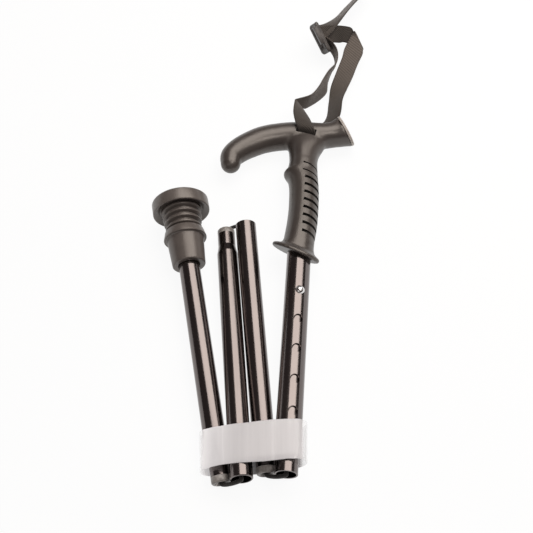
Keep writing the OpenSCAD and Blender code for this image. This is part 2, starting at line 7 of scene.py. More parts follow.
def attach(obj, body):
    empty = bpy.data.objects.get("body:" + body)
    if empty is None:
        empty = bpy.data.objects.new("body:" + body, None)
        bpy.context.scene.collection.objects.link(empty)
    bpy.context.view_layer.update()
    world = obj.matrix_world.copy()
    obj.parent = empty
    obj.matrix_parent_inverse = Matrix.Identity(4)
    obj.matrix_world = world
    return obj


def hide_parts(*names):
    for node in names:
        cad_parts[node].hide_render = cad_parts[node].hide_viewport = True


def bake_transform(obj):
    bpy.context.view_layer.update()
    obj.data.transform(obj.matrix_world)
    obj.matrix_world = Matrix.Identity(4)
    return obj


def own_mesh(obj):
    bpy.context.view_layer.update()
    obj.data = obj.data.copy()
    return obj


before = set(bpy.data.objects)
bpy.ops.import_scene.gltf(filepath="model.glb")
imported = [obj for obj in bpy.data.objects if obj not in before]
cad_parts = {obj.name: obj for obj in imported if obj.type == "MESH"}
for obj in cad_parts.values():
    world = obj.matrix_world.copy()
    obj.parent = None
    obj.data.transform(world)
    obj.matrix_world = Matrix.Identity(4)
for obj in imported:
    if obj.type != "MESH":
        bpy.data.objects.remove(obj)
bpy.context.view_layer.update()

# Camera and studio.
# A pale floor that runs out to white, one wide soft box high behind the cane that draws a long bright strip
# down every tube, a small one on the right for the handle, and a weak one on the left that opens the shadows.
mm = 0.001
scene = bpy.context.scene
scene.view_settings.view_transform = "Standard"

eye = bpy.data.objects.new("eye", bpy.data.cameras.new("eye"))
eye.data.lens = 36 * 900 / 533
eye.data.sensor_width = 36
eye.location = (8.24 * mm, -364.79 * mm, 619.87 * mm)
eye.rotation_euler = (radians(90 - 58), 0, 0)
scene.collection.objects.link(eye)
scene.camera = eye


class Wire:
    """A shader socket. Sums on it add Math nodes, and node() adds any other node."""

    def __init__(self, tree, socket=None):
        self.tree, self.socket = tree, socket

    def node(self, kind, settings={}, sockets={}, out=0):
        made = self.tree.nodes.new("ShaderNode" + kind)
        for name, value in settings.items():
            if name == "stops":
                ramp = made.color_ramp
                while len(ramp.elements) < len(value):
                    ramp.elements.new(1)
                for stop, (at, shade) in zip(ramp.elements, value):
                    stop.position, stop.color = at, (*shade, 1)
            else:
                setattr(made, name, value)
        for name, value in sockets.items():
            if isinstance(value, Wire):
                self.tree.links.new(value.socket, made.inputs[name])
            else:
                made.inputs[name].default_value = value
        return Wire(self.tree, made.outputs[out])

    def to(self, shader, name):
        self.tree.links.new(self.socket, shader.inputs[name])

    def sum(self, operation, a, b=0.0):
        return self.node("Math", {"operation": operation}, {0: a, 1: b})

    def __add__(self, other): return self.sum("ADD", self, other)
    def __radd__(self, other): return self.sum("ADD", other, self)
    def __sub__(self, other): return self.sum("SUBTRACT", self, other)
    def __rsub__(self, other): return self.sum("SUBTRACT", other, self)
    def __mul__(self, other): return self.sum("MULTIPLY", self, other)
    def __rmul__(self, other): return self.sum("MULTIPLY", other, self)


floor_mesh = bpy.data.meshes.new("floor")
floor = bpy.data.objects.new("floor", floor_mesh)
bm = bmesh.new()
bmesh.ops.create_grid(bm, x_segments=1, y_segments=1, size=4)
bm.to_mesh(floor_mesh)
bm.free()
scene.collection.objects.link(floor)
pale = bpy.data.materials.new("pale_floor")
pale.use_nodes = True
pale.node_tree.nodes.clear()
studio = Wire(pale.node_tree)
paper = studio.node("BsdfDiffuse", {}, {"Color": (0.93, 0.93, 0.93, 1)})
glow = studio.node("Emission", {}, {"Color": (1, 1, 1, 1), "Strength": 1.0})
seen = (studio.node("LightPath", out=0) + studio.node("LightPath", out=3) + studio.node("LightPath", out=6)) * 0.93
studio.node("MixShader", {}, {0: seen, 1: paper, 2: glow}).to(
    studio.tree.nodes.new("ShaderNodeOutputMaterial"), "Surface")
floor_mesh.materials.append(pale)

room = bpy.data.worlds.new("room")
room.use_nodes = True
room.node_tree.nodes.clear()
studio = Wire(room.node_tree)
dim = studio.node("Background", {}, {"Color": (0.1, 0.086, 0.085, 1)})
backdrop = studio.node("Background", {}, {"Color": (1, 1, 1, 1)})
rise = studio.node("SeparateXYZ", {}, {0: studio.node("TexCoord", out=0)}, out=2)
low = studio.node("MapRange", {}, {0: rise, 1: 0.12, 2: 0.16, 3: 1.0, 4: 0.0})
seen = studio.node("LightPath", out=0) + studio.node("LightPath", out=3) + studio.node("LightPath", out=6)
studio.node("MixShader", {}, {0: low * seen, 1: dim, 2: backdrop}).to(
    studio.tree.nodes.new("ShaderNodeOutputWorld"), "Surface")
scene.world = room
for name, place, aim, size, power, tint in (
        ("soft_box_back", (0.47, 0.56, 1.0), (0.47, 0.56, 0), (1.42, 0.9), 15.0, (1, 0.95, 0.9)),
        ("soft_box_side", (0.34, -0.22, 1.0), (0, 0.13, 0), (0.5, 0.25), 3.0, (1, 0.95, 0.9)),
        ("soft_box_front", (-0.45, -0.8, 0.9), (0, 0, 0), (0.9, 0.9), 1.3, (1, 0.97, 0.95))):
    lamp = bpy.data.lights.new(name, "AREA")
    lamp.shape, lamp.size, lamp.size_y = "RECTANGLE", *size
    lamp.energy, lamp.color = power, tint
    box = bpy.data.objects.new(name, lamp)
    box.location = place
    box.rotation_euler = (Vector(aim) - Vector(place)).to_track_quat("-Z", "Y").to_euler()
    scene.collection.objects.link(box)

# Wrist strap.
# One length of dark brown twill webbing: it starts in the slide buckle, goes down through the slot in the
# cross bar, comes up behind, doubles back through the buckle and runs out in a loose tail.
lay = Vector((-6.76, 1.61, -0.13)) * mm
strap_w, strap_t = 16 * mm, 1.4 * mm
strap_route = [(66.2, 260.4, 20), (73, 257.5, 16), (79, 250, 12), (80, 240, 10.5), (76.5, 230, 10.5),
    (71.5, 218.5, 11.5), (68, 206.5, 13), (61.5, 193.5, 16.5), (52.5, 181, 20.5), (44.8, 174.6, 24.6),
    (43.4, 173.4, 25.4), (43.6, 171.5, 25.9),
    (45, 158, 29.5), (46.8, 147.5, 31), (49, 141.6, 28.5), (49.2, 141.2, 14.7), (49.3, 141.6, 5),
    (52, 146, 1.7), (62, 157, 2), (74, 173, 7), (77.5, 191.5, 8.5), (81, 207, 9), (86.5, 222.5, 9.5),
    (92.5, 239, 11.5), (96.5, 250, 13.6), (100.7, 259.5, 16.2), (101.3, 260.8, 16.6), (101.9, 261.1, 15.7),
    (101.3, 261.2, 14.7), (100.2, 262.2, 14.8), (92.2, 269.2, 15.2),
    (84, 269.5, 16), (75, 267, 18.5), (67.5, 264, 20.5), (66.5, 266, 21.5), (71.5, 271.5, 21),
    (78.5, 281.5, 19.5), (87, 295, 17), (94.5, 308.5, 14.5), (103, 322, 12.5), (112, 336, 11)]
strap_across = [(0.1, -0.45, 0.88), (0.2, -0.4, 0.89), (0.1, -0.26, 0.96), (0.11, -0.09, 0.98),
    (0.3, 0.05, 0.94), (0.05, 0.18, 0.98), (-0.2, 0.26, 0.94), (0.02, 0.24, 0.97), (0.25, 0.16, 0.95),
    (-0.36, -0.1, 0.9), (-0.42, -0.15, 0.89), (-0.5, -0.1, 0.85), (-0.86, 0.07, 0.5), (-0.95, 0.25, 0.1), (-0.962, 0.274, 0), (-0.962, 0.274, 0),
    (-0.962, 0.274, 0), (-0.95, 0.3, 0), (-0.85, 0.5, 0), (-0.75, 0.25, -0.6), (-0.75, 0.19, -0.64),
    (-0.92, 0.3, -0.25), (-0.93, 0.32, 0.15), (-0.92, 0.35, 0.2), (-1.02, 0.41, 0.17), (-0.58, 0.88, 0.52), (-0.52, 0.94, 0.57),
    (-0.48, 0.88, 0.53), (-0.5, 0.92, 0.56), (-0.4, 0.91, 0.54), (0.3, 0.85, 0.4), (0.05, 0.76, 0.65), (-0.25, 0.74, 0.62), (-0.42, 0.66, 0.62),
    (-0.5, 0.75, 0.4), (-0.58, 0.75, -0.1), (-0.66, 0.5, -0.5), (-0.64, 0.25, -0.72), (-0.64, 0.22, -0.74),
    (-0.64, 0.22, -0.74), (-0.64, 0.22, -0.74)]


def through(points, steps):
    """A smooth line through the points, with that many steps between two of them."""
    points = [Vector(p) for p in points]
    line = []
    for i in range(len(points) - 1):
        a, b, c, d = points[max(i - 1, 0)], points[i], points[i + 1], points[min(i + 2, len(points) - 1)]
        for t in (s / steps for s in range(steps)):
            line.append((2 * b + (c - a) * t + (2 * a - 5 * b + 4 * c - d) * t ** 2
                + (3 * b - 3 * c + d - a) * t ** 3) / 2)
    return line + [points[-1]]


def frame_at(side, up, way, place):
    """The matrix that puts X along side, Y along up and Z along way, at a place."""
    return Matrix.Translation(place) @ Matrix((side, up, way)).transposed().to_4x4()


def sweep(bm, verts, edges, frames):
    """Extrudes a loop that lies in the first frame through the others, and returns the last loop."""
    for before, after in zip(frames, frames[1:]):
        made = bmesh.ops.extrude_edge_only(bm, edges=edges)["geom"]
        verts = [g for g in made if isinstance(g, bmesh.types.BMVert)]
        fresh = set(verts)
        edges = [g for g in made if isinstance(g, bmesh.types.BMEdge) and set(g.verts) <= fresh]
        bmesh.ops.transform(bm, matrix=after @ before.inverted(), verts=verts)
    return edges


def piece(name, bm, material=None, smooth=40):
    """Closes a bmesh into a new object, smooth shaded but for edges sharper than the angle."""
    bmesh.ops.recalc_face_normals(bm, faces=bm.faces)
    mesh = bpy.data.meshes.new(name)
    bm.to_mesh(mesh)
    bm.free()
    mesh.shade_smooth()
    mesh.set_sharp_from_angle(angle=radians(smooth))
    made = bpy.data.objects.new(name, mesh)
    scene.collection.objects.link(made)
    if material:
        mesh.materials.append(material)
    return made


def finish(name, **sockets):
    """A material with one principled shader, that shader, and a wire to hang nodes on."""
    material = bpy.data.materials.new(name)
    material.use_nodes = True
    shader = material.node_tree.nodes["Principled BSDF"]
    for socket, value in sockets.items():
        shader.inputs[socket.replace("_", " ")].default_value = value
    return material, shader, Wire(material.node_tree)


strap_line = [p * mm + lay for p in through(strap_route, 8)]
strap_sides = through(strap_across, 8)
strap_frames, strap_far, strap_lean = [], [0.0], []
for i, place in enumerate(strap_line):
    way = (strap_line[min(i + 1, len(strap_line) - 1)] - strap_line[max(i - 1, 0)]).normalized()
    strap_frames.append(frame_at(strap_sides[i], way.cross(strap_sides[i]).normalized(), way, place))
    strap_lean.append(strap_sides[i].dot(way))
    if i:
        strap_far.append(strap_far[-1] + (place - strap_line[i - 1]).length)
bm = bmesh.new()
loop = bmesh.ops.create_circle(bm, cap_ends=True, segments=28, radius=1)["verts"]
for v in loop:
    flat, thick = v.co.x, v.co.y
    v.co.x = abs(flat) ** 0.35 * strap_w / 2 * (1 if flat > 0 else -1)
    v.co.y = abs(thick) ** 0.5 * strap_t / 2 * (1 if thick > 0 else -1)
ring = [v.co.x for v in loop]
bmesh.ops.transform(bm, matrix=strap_frames[0], verts=loop)
sweep_end = sweep(bm, loop, [e for e in bm.edges], strap_frames)
bmesh.ops.contextual_create(bm, geom=sweep_end)
weave_map = bm.loops.layers.uv.new("weave")
bm.verts.ensure_lookup_table()
for face in bm.faces:
    for corner in face.loops:
        row, k = divmod(corner.vert.index, len(ring))
        corner[weave_map].uv = (ring[k] * 100, (strap_far[row] + ring[k] * strap_lean[row]) * 100)

webbing, shader, wire = finish("twill_webbing", Roughness=0.82, Specular_IOR_Level=0.25,
    Sheen_Weight=0.25, Sheen_Roughness=0.45)
uv = wire.node("UVMap", {"uv_map": "weave"})
split = uv.node("SeparateXYZ", {}, {0: uv})
across, along = split, Wire(wire.tree, split.socket.node.outputs[1])
twill = wire.sum("SINE", across * 36 + along * 28) * 0.5 + 0.5
fuzz = wire.node("TexNoise", {}, {"Vector": uv, "Scale": 22.0, "Detail": 5.0, "Roughness": 0.65})
selvedge = wire.node("MapRange", {"interpolation_type": "SMOOTHSTEP"},
    {0: wire.sum("ABSOLUTE", across), 1: 0.62, 2: 0.74, 3: 0.0, 4: 1.0})
tone = twill * 0.72 + fuzz * 0.36 - selvedge * 0.1
dye = wire.node("ValToRGB", {"stops": [(0.1, (0.034, 0.027, 0.023)), (0.5, (0.088, 0.073, 0.063)),
    (0.95, (0.17, 0.145, 0.126))]}, {0: tone})
# Painted light and shade: the tone is scaled station by station along the strap, darker where it turns away from the
# lamps and lighter where it faces them.
painted_light_and_shade_at = [(strap_far[k * 8] / strap_far[-1], (left, left, left)) for k, left in (
    (8, 1.0), (12, 0.55), (19, 0.5), (23, 1.1), (26, 1.2), (29, 0.4), (31, 0.42), (34, 0.6))]
wear_and_painted_light = wire.node("ValToRGB", {"stops": painted_light_and_shade_at}, {0: along * (0.01 / strap_far[-1])})
wire.node("VectorMath", {"operation": "MULTIPLY"}, {0: dye, 1: wear_and_painted_light}).to(shader, "Base Color")
wire.node("Bump", {}, {"Strength": 0.45, "Distance": 0.0003, "Height": twill * 0.8 + fuzz * 0.3}).to(shader, "Normal")
strap = piece("wrist_strap_webbing", bm, webbing, 60)

# Slide buckle.
# A moulded dark plastic frame of two bars and a cross bar, with a raised second layer over its rim; the strap's
# end is sewn round the cross bar and the loose tail is threaded through both windows.
buckle_len, buckle_w, buckle_t, buckle_bar, buckle_bow = 22 * mm, 30 * mm, 3.6 * mm, 4 * mm, 3 * mm
buckle_way = Vector((0.18, -0.576, 0.755)).normalized()
buckle_side = Vector((-0.456, 0.623, 0.632))
buckle_side = (buckle_side - buckle_side.dot(buckle_way) * buckle_way).normalized()
window_w, window_len = 19 * mm, (buckle_len - 3 * buckle_bar) / 2
rails = [-buckle_w / 2, -window_w / 2, window_w / 2, buckle_w / 2]
rungs = [-buckle_len / 2]
for step in (buckle_bar, window_len, buckle_bar, window_len, buckle_bar):
    rungs.append(rungs[-1] + step)
bm = bmesh.new()
bmesh.ops.create_grid(bm, x_segments=3, y_segments=5, size=1)
for v in bm.verts:
    v.co.x = rails[round((v.co.x + 1) * 1.5)]
    v.co.y = rungs[round((v.co.y + 1) * 2.5)]
bmesh.ops.bevel(bm, geom=[v for v in bm.verts if abs(v.co.x) > window_w / 2 + 1 * mm and abs(v.co.y) > buckle_len / 2 - 1 * mm],
    offset=3.2 * mm, segments=4, profile=0.5, affect="VERTICES", material=-1)
gaps = [f for f in bm.faces if abs(f.calc_center_median().x) < 1 * mm
    and any(rungs[k] < f.calc_center_median().y < rungs[k + 1] for k in (1, 3))]
bmesh.ops.delete(bm, geom=gaps, context="FACES_ONLY")
bmesh.ops.solidify(bm, geom=list(bm.faces), thickness=buckle_t - 1.4 * mm)
bmesh.ops.translate(bm, vec=(0, 0, -sum(v.co.z for v in bm.verts) / len(bm.verts)), verts=bm.verts)
for sign in (-1, 1):
    layer = [f for f in bm.faces if f.normal.z * sign > 0.9]
    bmesh.ops.inset_region(bm, faces=layer, thickness=1.1 * mm, depth=0, use_even_offset=True)
    layer = [f for f in bm.faces if f.normal.z * sign > 0.9
        and all(len(e.link_faces) == 2 and all(g.normal.z * sign > 0.9 for g in e.link_faces) for e in f.edges)]
    raised = bmesh.ops.extrude_face_region(bm, geom=layer)["geom"]
    bmesh.ops.translate(bm, vec=(0, 0, 0.7 * mm * sign), verts=[g for g in raised if isinstance(g, bmesh.types.BMVert)])
    bmesh.ops.delete(bm, geom=layer, context="FACES")
for v in bm.verts:
    v.co.z -= buckle_bow * (v.co.y / buckle_len * 2) ** 2 - buckle_bow / 3
bmesh.ops.create_cube(bm, size=1, matrix=Matrix.Translation((3 * mm, 8.8 * mm, -3.9 * mm))
    @ Matrix.Diagonal((17 * mm, 5.2 * mm, 3.4 * mm, 1)))
bmesh.ops.create_cube(bm, size=1, matrix=Matrix.Diagonal((window_w + 2 * mm, buckle_len - buckle_bar, 1.2 * mm, 1)))
bmesh.ops.recalc_face_normals(bm, faces=bm.faces)
bmesh.ops.bevel(bm, geom=[e for e in bm.edges if e.calc_face_angle(0) > 0.6], offset=0.4 * mm, segments=2,
    profile=0.5, affect="EDGES", material=-1, clamp_overlap=True)
bmesh.ops.transform(bm, matrix=frame_at(buckle_side, buckle_way, buckle_side.cross(buckle_way), strap_line[0]),
    verts=bm.verts)
buckle_plastic, shader, wire = finish("buckle_plastic", Roughness=0.42)
grain = wire.node("TexNoise", {}, {"Vector": wire.node("TexCoord", out=3), "Scale": 900.0, "Detail": 3.0})
wear_and_painted_light = wire.node("TexNoise", {}, {"Vector": wire.node("TexCoord", out=3), "Scale": 120.0, "Detail": 4.0})
wire.node("ValToRGB", {"stops": [(0.3, (0.045, 0.038, 0.035)), (0.75, (0.095, 0.082, 0.075))]}, {0: wear_and_painted_light}).to(
    shader, "Base Color")
(grain * 0.2 + 0.32).to(shader, "Roughness")
wire.node("Bump", {}, {"Strength": 0.2, "Distance": 0.0002, "Height": grain}).to(shader, "Normal")
buckle = piece("slide_buckle", bm, buckle_plastic)
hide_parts("strap_buckle")
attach(buckle, "handle")
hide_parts("wrist_strap")
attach(strap, "handle")

# Handle tube.
# Drawn aluminium tube, black anodised to a deep gloss, with a row of height holes down its front. The row of
# sections below is the same stock, so each gets the finish turned to its own lean.


def section(place, lean, rise):
    """Where a section lies: its lower end, its lean on the table and its rise."""
    return Matrix.Translation(Vector(place) * mm + lay) @ Euler((radians(rise), 0, radians(lean))).to_matrix().to_4x4()


def dress(material, *nodes):
    """Gives CAD nodes a finish."""
    for node in nodes:
        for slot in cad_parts[node].material_slots:
            slot.material = material


def anodised(name, lean, rise):
    """Black anodised tube: a dark mirror with faint drawing lines along it and a few soft smears."""
    material, shader, wire = finish(name, Metallic=1.0, Roughness=0.14)
    turned = wire.node("Mapping", {"vector_type": "TEXTURE"}, {"Vector": wire.node("TexCoord", out=3),
        "Rotation": (radians(rise), 0, radians(lean))})
    lines = wire.node("TexNoise", {}, {"Vector": wire.node("Mapping", {}, {"Vector": turned, "Scale": (500, 4, 500)}),
        "Scale": 1.0, "Detail": 2.0})
    smears = wire.node("TexNoise", {}, {"Vector": turned, "Scale": 26.0, "Detail": 5.0, "Roughness": 0.6})
    wire.node("ValToRGB", {"stops": [(0.25, (0.14, 0.122, 0.118)), (0.75, (0.18, 0.157, 0.151))]},
        {0: lines * 0.4 + smears * 0.6}).to(shader, "Base Color")
    (lines * 0.03 + smears * 0.12 + 0.11).to(shader, "Roughness")
    return material


upper = section((28.5, -160, 20), -3.9, -1)
dress(anodised("anodised_handle_tube", -3.9, -1), "upper_tube", "extension_tube")

# Grip.
# One satin moulding in warm dark grey plastic: a hooked cross bar that flares to a nose, an upright with
# finger grooves cut round its right half, and a tilted hand stop. It is moulded on the tube's upper end.
grip_at, grip_len, grip_w, grip_t = 176, 127, 27, 26
bar_w, bar_drop, bar_h, bar_t = 100, 40, 25, 23
stop_r, stop_t, stop_tilt, stop_tip, stop_deep, flare_len = 20.5, 4, radians(22), radians(22), 0.78, 10
nose_tip = radians(18)
bar_top = grip_at + grip_len
bar_rows = through([(a * bar_w, bar_top + b * bar_drop, c * bar_h, d * bar_t) for a, b, c, d in (
    (-0.627, -0.79, 0.34, 0.36), (-0.622, -0.6, 0.4, 0.43), (-0.565, -0.41, 0.435, 0.46),
    (-0.473, -0.23, 0.465, 0.48), (-0.355, -0.065, 0.485, 0.5), (-0.18, 0.05, 0.49, 0.53),
    (0, 0.09, 0.49, 0.55), (0.12, 0.11, 0.45, 0.54), (0.21, 0.15, 0.435, 0.53), (0.275, 0.2, 0.475, 0.54),
    (0.335, 0.271, 0.57, 0.62))], 4)
grip_rows = through([(b * grip_w, grip_at + a * grip_len, c * grip_w, d * grip_t) for a, b, c, d in (
    (0.1, -0.022, 0.452, 0.48), (0.15, -0.022, 0.463, 0.49), (0.21, 0.009, 0.465, 0.5),
    (0.29, 0.041, 0.463, 0.5), (0.39, 0.057, 0.457, 0.5), (0.49, 0.052, 0.459, 0.5),
    (0.565, 0.035, 0.461, 0.5), (0.63, -0.011, 0.478, 0.5), (0.68, -0.093, 0.537, 0.5),
    (0.71, -0.05, 0.483, 0.5), (0.78, -0.03, 0.448, 0.5), (0.85, -0.024, 0.477, 0.505), (0.89, 0, 0.53, 0.5),
    (0.94, 0.02, 0.62, 0.48), (1, 0.03, 0.64, 0.43))], 4)


def oval(x, y, way, half_w, half_t, tip=0):
    """The frame of an oval ring square to a way in the handle's plane, tipped to the front, in millimetres."""
    side, ahead, up = Vector((way[1], -way[0], 0)), Vector((*way, 0)), Vector((0, 0, 1))
    return frame_at(side * half_w, (up * cos(tip) - ahead * sin(tip)) * half_t,
        ahead * cos(tip) + up * sin(tip), (x, y, 0))


def loft(bm, rings):
    """A closed skin through oval rings."""
    circle = bmesh.ops.create_circle(bm, cap_ends=True, segments=48, radius=1, matrix=rings[0])["verts"]
    rim = [e for e in circle[0].link_faces[0].edges]
    bmesh.ops.contextual_create(bm, geom=sweep(bm, circle, rim, rings))


bm = bmesh.new()
rings = []
for i, row in enumerate(bar_rows):
    way = (bar_rows[min(i + 1, len(bar_rows) - 1)] - bar_rows[max(i - 1, 0)]).xy.normalized()
    if i == 0:
        for k in range(8, 0, -1):
            a = radians(82) * k / 8
            rings.append(oval(row.x - row.z * sin(a) * way.x, row.y - row.z * sin(a) * way.y, way,
                row.z * cos(a), row.w * cos(a)))
    rings.append(oval(row.x, row.y, way, row.z, row.w, nose_tip * max(0, row.x / bar_rows[-1].x)))
loft(bm, rings)
nose_end, nose_way = Vector((bar_rows[-1].x, bar_rows[-1].y, 0)), Vector((*way, 0))
loft(bm, [oval(r.x, r.y, (0, 1), r.z, r.w) for r in grip_rows])
stop_way = Vector((sin(stop_tilt), cos(stop_tilt)))
stop_at = Vector((-grip_w / 10, grip_at + 2 * stop_t))
rings = []
for k in range(9):
    a = pi * k / 8 - pi / 2
    half_w = stop_r - stop_t / 2 * (1 - cos(a))
    rings.append(oval(*(stop_at + stop_t / 2 * sin(a) * stop_way), stop_way, half_w, half_w * stop_deep, stop_tip))
flare_foot = stop_at + stop_t / 2 * stop_way
flare_top = Vector((-0.022 * grip_w, flare_foot.y + flare_len))
for k in range(1, 9):
    t = k / 8
    lean, left = stop_tilt * (1 - t), (1 - t) ** 3
    rings.append(oval(*flare_foot.lerp(flare_top, t), (sin(lean), cos(lean)),
        0.463 * grip_w * (1 - left) + (stop_r - stop_t) * left,
        0.49 * grip_t * (1 - left) + (stop_r - stop_t) * stop_deep * left, stop_tip * (1 - t)))
loft(bm, rings)
bmesh.ops.recalc_face_normals(bm, faces=bm.faces)
bmesh.ops.scale(bm, vec=(mm, mm, mm), verts=bm.verts)
satin, shader, wire = finish("satin_grip_plastic", Specular_IOR_Level=0.85, Specular_Tint=(1, 0.93, 0.87, 1))
here = wire.node("TexCoord", out=3)
grain = wire.node("TexNoise", {}, {"Vector": here, "Scale": 1400.0, "Detail": 2.0})
rub = wire.node("TexNoise", {}, {"Vector": here, "Scale": 48.0, "Detail": 5.0, "Roughness": 0.6})
# Painted highlight: the grip's sharp convex edges are coloured lighter.
bright = wire.node("MapRange", {}, {0: wire.node("NewGeometry", out=7), 1: 0.5, 2: 0.62, 3: 0.0, 4: 1.0})
wire.node("ValToRGB", {"stops": [(0.2, (0.042, 0.035, 0.032)), (0.6, (0.057, 0.048, 0.043)),
    (1.0, (0.105, 0.09, 0.081))]}, {0: rub * 0.7 + grain * 0.12 + bright * 0.25}).to(shader, "Base Color")
(rub * 0.14 + grain * 0.1 + 0.22).to(shader, "Roughness")
wire.node("Bump", {}, {"Strength": 0.12, "Distance": 0.00015, "Height": grain}).to(shader, "Normal")
grip = piece("moulded_grip", bm, satin)


def settle(made):
    """Turns a piece's modifiers into its mesh."""
    mesh = bpy.data.meshes.new_from_object(made.evaluated_get(bpy.context.evaluated_depsgraph_get()))
    made.modifiers.clear()
    made.data = mesh


remesh = grip.modifiers.new("one_skin", "REMESH")
remesh.mode, remesh.voxel_size = "VOXEL", 0.85 * mm
settle(grip)
bm = bmesh.new()
bm.from_mesh(grip.data)
joint = [v for v in bm.verts if abs(v.co.x) < 30 * mm and (bar_top - 30) * mm < v.co.y < (bar_top + 14) * mm]
crook = [v for v in joint if v.co.x > 2 * mm]
for verts, rounds in ((bm.verts, 3), (joint, 24), (crook, 20)):
    for _ in range(rounds):
        bmesh.ops.smooth_vert(bm, verts=verts, factor=0.5, use_axis_x=True, use_axis_y=True, use_axis_z=True)
bm.to_mesh(grip.data)
bm.free()

bm = bmesh.new()
lengthwise = Matrix.Rotation(-pi / 2, 4, "X")
tube_top = 282.05
bmesh.ops.create_cone(bm, cap_ends=True, segments=64, radius1=9.55, radius2=9.55, depth=tube_top - grip_at + 2 * stop_r,
    matrix=Matrix.Translation((0, (tube_top + grip_at - 2 * stop_r) / 2, 0)) @ lengthwise)
bmesh.ops.create_cube(bm, size=1, matrix=Matrix.Translation((0, bar_top, 0))
    @ Matrix.Rotation(radians(-12), 4, "Z") @ Matrix.Diagonal((17.2, 6, 60, 1)))
nose_turn = Matrix.Translation(nose_end) @ nose_way.to_track_quat("Y", "Z").to_matrix().to_4x4() \
    @ Matrix.Rotation(nose_tip, 4, "X")
bmesh.ops.create_cone(bm, cap_ends=True, segments=48, radius1=9.6, radius2=9.6, depth=10,
    matrix=nose_turn @ Matrix.Translation((0, -3.05, 0)) @ lengthwise)
for k in range(10):
    low, mid, inner, wide = grip_at + grip_len * 0.16 + k * 7.8, *((1.35, 10.3, 2.9) if k < 8 else (-0.6, 11.5, 1.7))
    uncut = set(bm.verts)
    corner = [bm.verts.new((mid, y, z)) for y, z in ((low + 0.2, inner), (low + wide - 0.2, inner),
        (low + wide + 0.1, 18), (low - 0.1, 18))]
    cut = bm.faces.new(corner)
    bmesh.ops.rotate(bm, verts=corner, cent=(mid, 0, 0), matrix=Matrix.Rotation(radians(-2), 3, "Y"))
    bmesh.ops.spin(bm, geom=[cut, *cut.edges, *corner], cent=(mid, 0, 0), axis=(0, 1, 0), angle=radians(184), steps=48)
    bmesh.ops.rotate(bm, verts=[v for v in bm.verts if v not in uncut], cent=(mid, low, 0),
        matrix=Matrix.Rotation(radians(-11), 3, "Z"))
bmesh.ops.recalc_face_normals(bm, faces=bm.faces)
bmesh.ops.scale(bm, vec=(mm, mm, mm), verts=bm.verts)
# Painted shade: the faces cut by the grooves, the strap slot and the bores get a near-black colour, mottled at random.
shade, shader, wire = finish("recess_painted_shade", Roughness=0.7)
recess_shade_mottle = wire.node("TexNoise", {}, {"Vector": wire.node("TexCoord", out=3), "Scale": 300.0, "Detail": 3.0})
wire.node("ValToRGB", {"stops": [(0.3, (0.012, 0.01, 0.009)), (0.8, (0.026, 0.022, 0.019))]}, {0: recess_shade_mottle}).to(
    shader, "Base Color")
cutter = piece("grip_cuts", bm, shade)
cut = grip.modifiers.new("cuts", "BOOLEAN")
cut.operation, cut.solver, cut.object, cut.material_mode = "DIFFERENCE", "EXACT", cutter, "TRANSFER"
settle(grip)
bpy.data.objects.remove(cutter)
grip.data.transform(upper)
grip.data.shade_smooth()
grip.data.set_sharp_from_angle(angle=radians(38))

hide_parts("handle_grip")
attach(grip, "handle")

# Nose cap.
# A pressed-in plastic disc that closes the nose, a turned lip round a shallow dish, coloured pale as a painted
# highlight.


def spun(name, outline, place, material=None, fillet=0.5, smooth=40):
    """A turned piece about a section's own length: radius and place along it, in millimetres."""
    bm = bmesh.new()
    verts = [bm.verts.new((r, y, 0)) for r, y in outline]
    edges = [bm.edges.new(pair) for pair in zip(verts, verts[1:])]
    bmesh.ops.spin(bm, geom=[*verts, *edges], cent=(0, 0, 0), axis=(0, 1, 0), angle=2 * pi, steps=96, use_merge=True)
    bmesh.ops.remove_doubles(bm, verts=bm.verts, dist=1e-4)
    bmesh.ops.recalc_face_normals(bm, faces=bm.faces)
    if fillet:
        rims = [e for e in bm.edges if len(e.link_faces) == 2 and e.calc_face_angle(0) > 0.35
            and abs(e.verts[0].co.y - e.verts[1].co.y) < 1e-4]
        bmesh.ops.bevel(bm, geom=rims, offset=fillet, segments=3, profile=0.5, affect="EDGES", material=-1,
            clamp_overlap=True)
    bmesh.ops.scale(bm, vec=(mm, mm, mm), verts=bm.verts)
    bmesh.ops.transform(bm, matrix=place, verts=bm.verts)
    return piece(name, bm, material, smooth)


# The disc's pale colour is a painted highlight, so that its lip reads as a bright line.
cap_plastic, shader, wire = finish("cap_plastic", Roughness=0.3)
grain = wire.node("TexNoise", {}, {"Vector": wire.node("TexCoord", out=3), "Scale": 700.0, "Detail": 3.0})
wire.node("ValToRGB", {"stops": [(0.3, (0.42, 0.38, 0.35)), (0.8, (0.52, 0.475, 0.435))]}, {0: grain}).to(
    shader, "Base Color")
(grain * 0.15 + 0.2).to(shader, "Roughness")
wire.node("Bump", {}, {"Strength": 0.1, "Distance": 0.0001, "Height": grain}).to(shader, "Normal")
nose = upper @ Matrix.Translation(nose_end * mm) @ nose_way.to_track_quat("Y", "Z").to_matrix().to_4x4() \
    @ Matrix.Rotation(nose_tip, 4, "X")
cap = spun("nose_disc", [(0, -8), (9.5, -8), (9.5, 0), (13.7, 0), (14.25, 0.4), (14.25, 0.9), (13.9, 1.2),
    (14.25, 1.5), (14.25, 1.8), (13.5, 2.4), (12.2, 2.4), (11.4, 1.5), (0, 1.2)], nose, cap_plastic, 0.2)
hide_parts("nose_cap")
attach(cap, "handle")

# Extension, its button and what holds the cord.
# The inner tube slides in the handle tube on a chromed button that a bent spring-steel leaf pushes out; a
# grey plug holds the knotted upper end of the elastic cord.
chrome, shader, wire = finish("polished_chrome", Metallic=1.0, Roughness=0.06)
swirl = wire.node("TexNoise", {}, {"Vector": wire.node("TexCoord", out=3), "Scale": 800.0, "Detail": 4.0})
wire.node("ValToRGB", {"stops": [(0.3, (0.7, 0.69, 0.68)), (0.7, (0.86, 0.85, 0.84))]}, {0: swirl}).to(
    shader, "Base Color")
(swirl * 0.12 + 0.03).to(shader, "Roughness")
dress(chrome, "snap_button")

